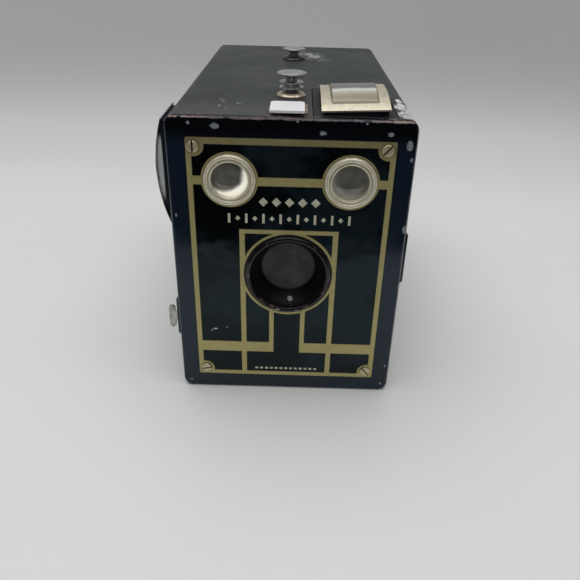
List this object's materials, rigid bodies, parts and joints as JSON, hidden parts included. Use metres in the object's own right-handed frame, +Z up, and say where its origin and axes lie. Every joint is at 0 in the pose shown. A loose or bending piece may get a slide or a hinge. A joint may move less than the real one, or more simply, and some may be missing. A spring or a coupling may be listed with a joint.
{
  "type": "box camera",
  "caption": "Upright box camera for roll film with a lined enamel face, round finder lenses, bowed finder windows, top catch, strap posts and a pull-out shutter and film section.",
  "frame": {"origin": "on the base, under the middle of the camera body's width and depth", "axes": "+Z up, -Y out of the lens, +X to the right of someone facing the lens"},
  "size_m": [0.0889, 0.1459, 0.1128],
  "materials": {
    "casing_sheet": "black japanned sheet, satin",
    "leatherette": "fine-grained black leatherette with a dull sheen",
    "navy_enamel": "gloss navy-black enamel, chipped and worn at the edges",
    "black_enamel": "gloss black enamel",
    "brass_line": "pale brass, dull and slightly tarnished",
    "nickel": "worn nickel plate",
    "frame_nickel": "yellowed nickel plate",
    "steel": "plain steel",
    "dark_steel": "blackened steel, matte",
    "clear_glass": "clear glass, slightly yellowed",
    "mirror_glass": "silvered mirror",
    "red_glass": "red celluloid",
    "matte_black": "matte black paint"
  },
  "bodies": {
    "casing": {"shell": "casing_sheet", "back_panel": "casing_sheet", "leatherette_wrap": "leatherette", "leatherette_base": "leatherette", "leatherette_back": "leatherette", "red_window": "red_glass", "red_window_ring": "nickel", "post_eyelets": "nickel", "catch_base": "brass_line", "catch_pin": "steel", "winding_bush": "nickel", "winding_pawl": "steel"},
    "catch": {"catch_plate": "nickel"},
    "front_post": {"front_strap_post": "nickel", "front_post_clip": "steel", "strap_eyelet": "nickel"},
    "rear_post": {"rear_strap_post": "nickel", "rear_post_clip": "steel"},
    "ratchet": {"ratchet_wheel": "steel"},
    "winding_key": {"winding_knob": "nickel", "winding_shaft": "steel"},
    "front_section": {"front_panel": "navy_enamel", "face_plate": "black_enamel", "face_trim": "brass_line", "face_screws": "brass_line", "lens_hood": "black_enamel", "finder_bezels": "nickel", "finder_lens_left": "clear_glass", "finder_lens_right": "clear_glass", "finder_box_top": "matte_black", "finder_box_side": "matte_black", "finder_mirror_top": "mirror_glass", "finder_mirror_side": "mirror_glass", "window_frame_top": "frame_nickel", "window_frame_side": "frame_nickel", "window_glass_top": "clear_glass", "window_glass_side": "clear_glass", "front_tray": "matte_black", "lever_guide": "navy_enamel", "tab_guide": "navy_enamel", "shutter_plate": "matte_black", "shutter_rivets": "steel", "lens_cell": "matte_black", "meniscus_lens": "clear_glass", "lens_retainer": "steel", "light_cone_front": "matte_black", "light_cone_sides": "matte_black", "light_cone_floor_and_roof": "matte_black", "film_gate": "matte_black", "carrier_plates": "matte_black", "spool_springs": "steel"},
    "shutter_disc": {"shutter_disc": "dark_steel"},
    "shutter_lever": {"shutter_lever": "nickel", "shutter_spring": "steel"},
    "aperture_slide": {"aperture_slide": "steel"},
    "time_slide": {"time_slide": "steel"},
    "takeup_spool": {"spool_core": "dark_steel", "spool_flanges": "dark_steel"},
    "top_roller": {"film_roller_top": "steel"},
    "bottom_roller": {"film_roller_bottom": "steel"}
  },
  "joints": [
    {"name": "front_pull", "type": "slide", "parent": "casing", "child": "front_section", "axis": [0, -1, 0], "range_m": [0, 0.12]},
    {"name": "catch_lift", "type": "hinge", "parent": "casing", "child": "catch", "pos_m": [-0.0014, -0.0579, 0.10575], "axis": [-1, 0, 0], "range_deg": [0, 65], "stiffness_Nm_per_rad": 0.004},
    {"name": "front_post_push", "type": "slide", "parent": "casing", "child": "front_post", "axis": [0, 0, -1], "range_m": [0, 0.0012]},
    {"name": "rear_post_push", "type": "slide", "parent": "casing", "child": "rear_post", "axis": [0, 0, -1], "range_m": [-0.003, 0.001]},
    {"name": "winding_turn", "type": "hinge", "parent": "casing", "child": "ratchet", "pos_m": [-0.0395, -0.012, 0.0853], "axis": [1, 0, 0], "continuous": true},
    {"name": "key_pull", "type": "slide", "parent": "ratchet", "child": "winding_key", "axis": [-1, 0, 0], "range_m": [0, 0.008]},
    {"name": "takeup_turn", "type": "hinge", "parent": "front_section", "child": "takeup_spool", "pos_m": [0, -0.012, 0.0853], "axis": [1, 0, 0], "continuous": true},
    {"name": "shutter_turn", "type": "hinge", "parent": "front_section", "child": "shutter_disc", "pos_m": [-0.008, -0.06535, 0.04], "axis": [0, 1, 0], "range_deg": [0, 180]},
    {"name": "lever_press", "type": "hinge", "parent": "front_section", "child": "shutter_lever", "pos_m": [-0.014, -0.06325, 0.0265], "axis": [0, 1, 0], "range_deg": [0, 12]},
    {"name": "aperture_pull", "type": "slide", "parent": "front_section", "child": "aperture_slide", "axis": [1, 0, 0], "range_m": [0, 0.012]},
    {"name": "time_pull", "type": "slide", "parent": "front_section", "child": "time_slide", "axis": [1, 0, 0], "range_m": [0, 0.006]},
    {"name": "top_roller_turn", "type": "hinge", "parent": "front_section", "child": "top_roller", "pos_m": [0, 0.0648, 0.0946], "axis": [1, 0, 0], "continuous": true},
    {"name": "bottom_roller_turn", "type": "hinge", "parent": "front_section", "child": "bottom_roller", "pos_m": [0, 0.0648, 0.007], "axis": [1, 0, 0], "continuous": true}
  ],
  "couplings": [
    {"joint": "takeup_turn", "follows": "winding_turn", "ratio": 1},
    {"joint": "lever_press", "follows": "shutter_turn", "ratio": 0.066667}
  ]
}
